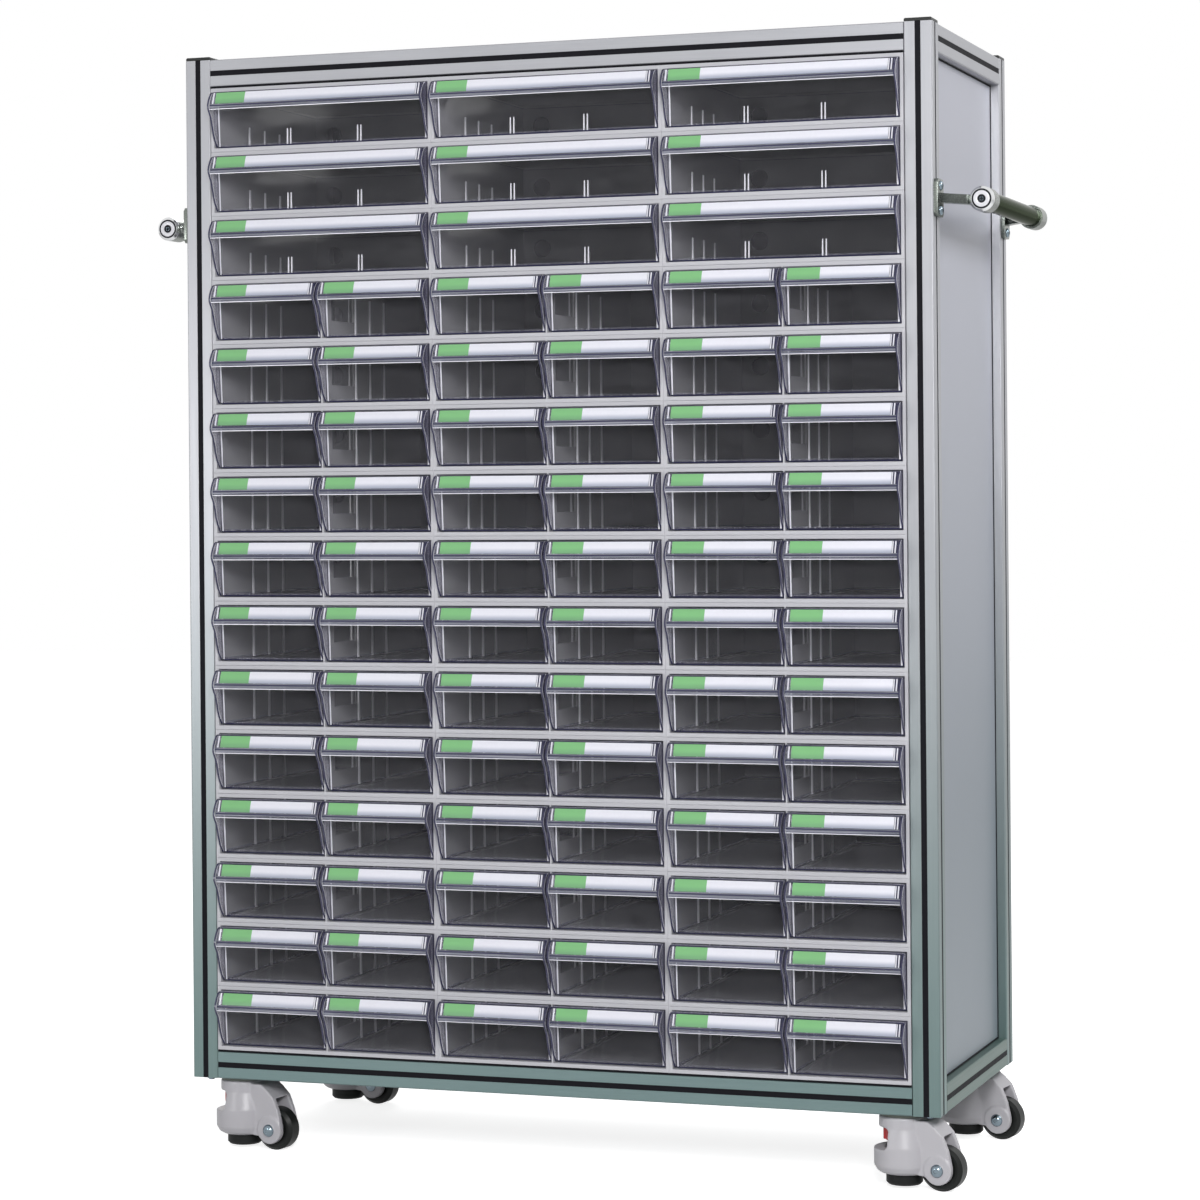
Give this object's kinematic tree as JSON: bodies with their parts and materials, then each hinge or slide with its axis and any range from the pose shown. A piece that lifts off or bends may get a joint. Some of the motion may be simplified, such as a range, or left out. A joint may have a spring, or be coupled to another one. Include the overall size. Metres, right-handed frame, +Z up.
{
  "type": "parts bin cabinet",
  "caption": "Tall wheeled parts cabinet: slotted aluminium frame filled with housings of clear label-front drawers, a tube handle on each side, levelling castors.",
  "frame": {"origin": "on the floor under the middle of the whole cabinet", "axes": "+Z up, -Y towards the drawers' fronts, +X to the right as the fronts are faced"},
  "size_m": [1.272, 0.506, 1.611],
  "materials": {
    "satin_aluminium": "satin",
    "black_plastic": "matte",
    "pale_panel": "satin",
    "base_sheet": "satin",
    "housing_plastic": "satin",
    "clear_plastic": "glossy",
    "bracket_grey": "satin",
    "handle_steel": "polished",
    "chrome_cap": "polished",
    "bolt_steel": "satin",
    "castor_ivory": "painted satin",
    "wheel_black": "satin",
    "foot_black": "matte",
    "thumbwheel_red": "satin"
  },
  "bodies": {
    "cabinet": {"corner_posts": "satin_aluminium", "cross_rails": "satin_aluminium", "side_rails": "satin_aluminium", "post_caps": "black_plastic", "slot_covers": "black_plastic", "right_side_panel": "pale_panel", "left_side_panel": "pale_panel", "back_panel": "pale_panel", "top_panel": "pale_panel", "base_panel": "base_sheet", "wide_drawer_housings": "housing_plastic", "small_drawer_housings": "housing_plastic", "handle_brackets": "bracket_grey", "handle_tubes": "handle_steel", "handle_end_caps": "chrome_cap", "fasteners": "bolt_steel", "castor_heads": "bolt_steel"},
    "wide_drawer_row_1_left": {"wide_drawer_row_1_left": "clear_plastic"},
    "wide_drawer_row_2_left": {"wide_drawer_row_2_left": "clear_plastic"},
    "wide_drawer_row_3_left": {"wide_drawer_row_3_left": "clear_plastic"},
    "small_drawers_rows_4_to_5_left": {"small_drawers_rows_4_to_5_left": "clear_plastic"},
    "small_drawers_rows_6_to_7_left": {"small_drawers_rows_6_to_7_left": "clear_plastic"},
    "small_drawers_rows_8_to_9_left": {"small_drawers_rows_8_to_9_left": "clear_plastic"},
    "small_drawers_rows_10_to_11_left": {"small_drawers_rows_10_to_11_left": "clear_plastic"},
    "small_drawers_rows_12_to_13_left": {"small_drawers_rows_12_to_13_left": "clear_plastic"},
    "small_drawers_rows_14_to_15_left": {"small_drawers_rows_14_to_15_left": "clear_plastic"},
    "wide_drawer_row_1_middle": {"wide_drawer_row_1_middle": "clear_plastic"},
    "wide_drawer_row_2_middle": {"wide_drawer_row_2_middle": "clear_plastic"},
    "wide_drawer_row_3_middle": {"wide_drawer_row_3_middle": "clear_plastic"},
    "small_drawers_rows_4_to_5_middle": {"small_drawers_rows_4_to_5_middle": "clear_plastic"},
    "small_drawers_rows_6_to_7_middle": {"small_drawers_rows_6_to_7_middle": "clear_plastic"},
    "small_drawers_rows_8_to_9_middle": {"small_drawers_rows_8_to_9_middle": "clear_plastic"},
    "small_drawers_rows_10_to_11_middle": {"small_drawers_rows_10_to_11_middle": "clear_plastic"},
    "small_drawers_rows_12_to_13_middle": {"small_drawers_rows_12_to_13_middle": "clear_plastic"},
    "small_drawers_rows_14_to_15_middle": {"small_drawers_rows_14_to_15_middle": "clear_plastic"},
    "wide_drawer_row_1_right": {"wide_drawer_row_1_right": "clear_plastic"},
    "wide_drawer_row_2_right": {"wide_drawer_row_2_right": "clear_plastic"},
    "wide_drawer_row_3_right": {"wide_drawer_row_3_right": "clear_plastic"},
    "small_drawers_rows_4_to_5_right": {"small_drawers_rows_4_to_5_right": "clear_plastic"},
    "small_drawers_rows_6_to_7_right": {"small_drawers_rows_6_to_7_right": "clear_plastic"},
    "small_drawers_rows_8_to_9_right": {"small_drawers_rows_8_to_9_right": "clear_plastic"},
    "small_drawers_rows_10_to_11_right": {"small_drawers_rows_10_to_11_right": "clear_plastic"},
    "small_drawers_rows_12_to_13_right": {"small_drawers_rows_12_to_13_right": "clear_plastic"},
    "small_drawers_rows_14_to_15_right": {"small_drawers_rows_14_to_15_right": "clear_plastic"},
    "castor_housing_front_left": {"castor_housing_front_left": "castor_ivory"},
    "castor_wheel_front_left": {"castor_wheel_front_left": "wheel_black"},
    "castor_foot_front_left": {"castor_foot_front_left": "foot_black"},
    "castor_thumbwheel_front_left": {"castor_thumbwheel_front_left": "thumbwheel_red"},
    "castor_housing_front_right": {"castor_housing_front_right": "castor_ivory"},
    "castor_wheel_front_right": {"castor_wheel_front_right": "wheel_black"},
    "castor_foot_front_right": {"castor_foot_front_right": "foot_black"},
    "castor_thumbwheel_front_right": {"castor_thumbwheel_front_right": "thumbwheel_red"},
    "castor_housing_rear_left": {"castor_housing_rear_left": "castor_ivory"},
    "castor_wheel_rear_left": {"castor_wheel_rear_left": "wheel_black"},
    "castor_foot_rear_left": {"castor_foot_rear_left": "foot_black"},
    "castor_thumbwheel_rear_left": {"castor_thumbwheel_rear_left": "thumbwheel_red"},
    "castor_housing_rear_right": {"castor_housing_rear_right": "castor_ivory"},
    "castor_wheel_rear_right": {"castor_wheel_rear_right": "wheel_black"},
    "castor_foot_rear_right": {"castor_foot_rear_right": "foot_black"},
    "castor_thumbwheel_rear_right": {"castor_thumbwheel_rear_right": "thumbwheel_red"}
  },
  "joints": [
    {"name": "wide_drawer_row_1_left_slide", "type": "slide", "parent": "cabinet", "child": "wide_drawer_row_1_left", "axis": [0, -1, 0], "range_m": [0, 0.29]},
    {"name": "wide_drawer_row_2_left_slide", "type": "slide", "parent": "cabinet", "child": "wide_drawer_row_2_left", "axis": [0, -1, 0], "range_m": [0, 0.29]},
    {"name": "wide_drawer_row_3_left_slide", "type": "slide", "parent": "cabinet", "child": "wide_drawer_row_3_left", "axis": [0, -1, 0], "range_m": [0, 0.29]},
    {"name": "small_drawers_rows_4_to_5_left_slide", "type": "slide", "parent": "cabinet", "child": "small_drawers_rows_4_to_5_left", "axis": [0, -1, 0], "range_m": [0, 0.29]},
    {"name": "small_drawers_rows_6_to_7_left_slide", "type": "slide", "parent": "cabinet", "child": "small_drawers_rows_6_to_7_left", "axis": [0, -1, 0], "range_m": [0, 0.29]},
    {"name": "small_drawers_rows_8_to_9_left_slide", "type": "slide", "parent": "cabinet", "child": "small_drawers_rows_8_to_9_left", "axis": [0, -1, 0], "range_m": [0, 0.29]},
    {"name": "small_drawers_rows_10_to_11_left_slide", "type": "slide", "parent": "cabinet", "child": "small_drawers_rows_10_to_11_left", "axis": [0, -1, 0], "range_m": [0, 0.29]},
    {"name": "small_drawers_rows_12_to_13_left_slide", "type": "slide", "parent": "cabinet", "child": "small_drawers_rows_12_to_13_left", "axis": [0, -1, 0], "range_m": [0, 0.29]},
    {"name": "small_drawers_rows_14_to_15_left_slide", "type": "slide", "parent": "cabinet", "child": "small_drawers_rows_14_to_15_left", "axis": [0, -1, 0], "range_m": [0, 0.29]},
    {"name": "wide_drawer_row_1_middle_slide", "type": "slide", "parent": "cabinet", "child": "wide_drawer_row_1_middle", "axis": [0, -1, 0], "range_m": [0, 0.29]},
    {"name": "wide_drawer_row_2_middle_slide", "type": "slide", "parent": "cabinet", "child": "wide_drawer_row_2_middle", "axis": [0, -1, 0], "range_m": [0, 0.29]},
    {"name": "wide_drawer_row_3_middle_slide", "type": "slide", "parent": "cabinet", "child": "wide_drawer_row_3_middle", "axis": [0, -1, 0], "range_m": [0, 0.29]},
    {"name": "small_drawers_rows_4_to_5_middle_slide", "type": "slide", "parent": "cabinet", "child": "small_drawers_rows_4_to_5_middle", "axis": [0, -1, 0], "range_m": [0, 0.29]},
    {"name": "small_drawers_rows_6_to_7_middle_slide", "type": "slide", "parent": "cabinet", "child": "small_drawers_rows_6_to_7_middle", "axis": [0, -1, 0], "range_m": [0, 0.29]},
    {"name": "small_drawers_rows_8_to_9_middle_slide", "type": "slide", "parent": "cabinet", "child": "small_drawers_rows_8_to_9_middle", "axis": [0, -1, 0], "range_m": [0, 0.29]},
    {"name": "small_drawers_rows_10_to_11_middle_slide", "type": "slide", "parent": "cabinet", "child": "small_drawers_rows_10_to_11_middle", "axis": [0, -1, 0], "range_m": [0, 0.29]},
    {"name": "small_drawers_rows_12_to_13_middle_slide", "type": "slide", "parent": "cabinet", "child": "small_drawers_rows_12_to_13_middle", "axis": [0, -1, 0], "range_m": [0, 0.29]},
    {"name": "small_drawers_rows_14_to_15_middle_slide", "type": "slide", "parent": "cabinet", "child": "small_drawers_rows_14_to_15_middle", "axis": [0, -1, 0], "range_m": [0, 0.29]},
    {"name": "wide_drawer_row_1_right_slide", "type": "slide", "parent": "cabinet", "child": "wide_drawer_row_1_right", "axis": [0, -1, 0], "range_m": [0, 0.29]},
    {"name": "wide_drawer_row_2_right_slide", "type": "slide", "parent": "cabinet", "child": "wide_drawer_row_2_right", "axis": [0, -1, 0], "range_m": [0, 0.29]},
    {"name": "wide_drawer_row_3_right_slide", "type": "slide", "parent": "cabinet", "child": "wide_drawer_row_3_right", "axis": [0, -1, 0], "range_m": [0, 0.29]},
    {"name": "small_drawers_rows_4_to_5_right_slide", "type": "slide", "parent": "cabinet", "child": "small_drawers_rows_4_to_5_right", "axis": [0, -1, 0], "range_m": [0, 0.29]},
    {"name": "small_drawers_rows_6_to_7_right_slide", "type": "slide", "parent": "cabinet", "child": "small_drawers_rows_6_to_7_right", "axis": [0, -1, 0], "range_m": [0, 0.29]},
    {"name": "small_drawers_rows_8_to_9_right_slide", "type": "slide", "parent": "cabinet", "child": "small_drawers_rows_8_to_9_right", "axis": [0, -1, 0], "range_m": [0, 0.29]},
    {"name": "small_drawers_rows_10_to_11_right_slide", "type": "slide", "parent": "cabinet", "child": "small_drawers_rows_10_to_11_right", "axis": [0, -1, 0], "range_m": [0, 0.29]},
    {"name": "small_drawers_rows_12_to_13_right_slide", "type": "slide", "parent": "cabinet", "child": "small_drawers_rows_12_to_13_right", "axis": [0, -1, 0], "range_m": [0, 0.29]},
    {"name": "small_drawers_rows_14_to_15_right_slide", "type": "slide", "parent": "cabinet", "child": "small_drawers_rows_14_to_15_right", "axis": [0, -1, 0], "range_m": [0, 0.29]},
    {"name": "castor_swivel_front_left", "type": "hinge", "parent": "cabinet", "child": "castor_housing_front_left", "pos_m": [-0.5005, -0.182, 0.101], "axis": [0, 0, 1], "continuous": true},
    {"name": "castor_roll_front_left", "type": "hinge", "parent": "castor_housing_front_left", "child": "castor_wheel_front_left", "pos_m": [-0.44272, -0.19115, 0.031], "axis": [0.1564, 0.9877, 0], "continuous": true},
    {"name": "castor_thumbwheel_turn_front_left", "type": "hinge", "parent": "castor_housing_front_left", "child": "castor_thumbwheel_front_left", "pos_m": [-0.5005, -0.182, 0.0745], "axis": [0, 0, 1], "range_deg": [0, 1800]},
    {"name": "castor_foot_lift_front_left", "type": "slide", "parent": "castor_housing_front_left", "child": "castor_foot_front_left", "axis": [0, 0, -1], "range_m": [0, 0.01]},
    {"name": "castor_swivel_front_right", "type": "hinge", "parent": "cabinet", "child": "castor_housing_front_right", "pos_m": [0.5005, -0.182, 0.101], "axis": [0, 0, 1], "continuous": true},
    {"name": "castor_roll_front_right", "type": "hinge", "parent": "castor_housing_front_right", "child": "castor_wheel_front_right", "pos_m": [0.55828, -0.19115, 0.031], "axis": [0.1564, 0.9877, 0], "continuous": true},
    {"name": "castor_thumbwheel_turn_front_right", "type": "hinge", "parent": "castor_housing_front_right", "child": "castor_thumbwheel_front_right", "pos_m": [0.5005, -0.182, 0.0745], "axis": [0, 0, 1], "range_deg": [0, 1800]},
    {"name": "castor_foot_lift_front_right", "type": "slide", "parent": "castor_housing_front_right", "child": "castor_foot_front_right", "axis": [0, 0, -1], "range_m": [0, 0.01]},
    {"name": "castor_swivel_rear_left", "type": "hinge", "parent": "cabinet", "child": "castor_housing_rear_left", "pos_m": [-0.5005, 0.208, 0.101], "axis": [0, 0, 1], "continuous": true},
    {"name": "castor_roll_rear_left", "type": "hinge", "parent": "castor_housing_rear_left", "child": "castor_wheel_rear_left", "pos_m": [-0.44272, 0.19885, 0.031], "axis": [0.1564, 0.9877, 0], "continuous": true},
    {"name": "castor_thumbwheel_turn_rear_left", "type": "hinge", "parent": "castor_housing_rear_left", "child": "castor_thumbwheel_rear_left", "pos_m": [-0.5005, 0.208, 0.0745], "axis": [0, 0, 1], "range_deg": [0, 1800]},
    {"name": "castor_foot_lift_rear_left", "type": "slide", "parent": "castor_housing_rear_left", "child": "castor_foot_rear_left", "axis": [0, 0, -1], "range_m": [0, 0.01]},
    {"name": "castor_swivel_rear_right", "type": "hinge", "parent": "cabinet", "child": "castor_housing_rear_right", "pos_m": [0.5005, 0.208, 0.101], "axis": [0, 0, 1], "continuous": true},
    {"name": "castor_roll_rear_right", "type": "hinge", "parent": "castor_housing_rear_right", "child": "castor_wheel_rear_right", "pos_m": [0.55828, 0.19885, 0.031], "axis": [0.1564, 0.9877, 0], "continuous": true},
    {"name": "castor_thumbwheel_turn_rear_right", "type": "hinge", "parent": "castor_housing_rear_right", "child": "castor_thumbwheel_rear_right", "pos_m": [0.5005, 0.208, 0.0745], "axis": [0, 0, 1], "range_deg": [0, 1800]},
    {"name": "castor_foot_lift_rear_right", "type": "slide", "parent": "castor_housing_rear_right", "child": "castor_foot_rear_right", "axis": [0, 0, -1], "range_m": [0, 0.01]}
  ],
  "couplings": [
    {"joint": "castor_thumbwheel_turn_front_left", "follows": "castor_foot_lift_front_left", "rad_per_m": 3141.6},
    {"joint": "castor_thumbwheel_turn_front_right", "follows": "castor_foot_lift_front_right", "rad_per_m": 3141.6},
    {"joint": "castor_thumbwheel_turn_rear_left", "follows": "castor_foot_lift_rear_left", "rad_per_m": 3141.6},
    {"joint": "castor_thumbwheel_turn_rear_right", "follows": "castor_foot_lift_rear_right", "rad_per_m": 3141.6}
  ]
}
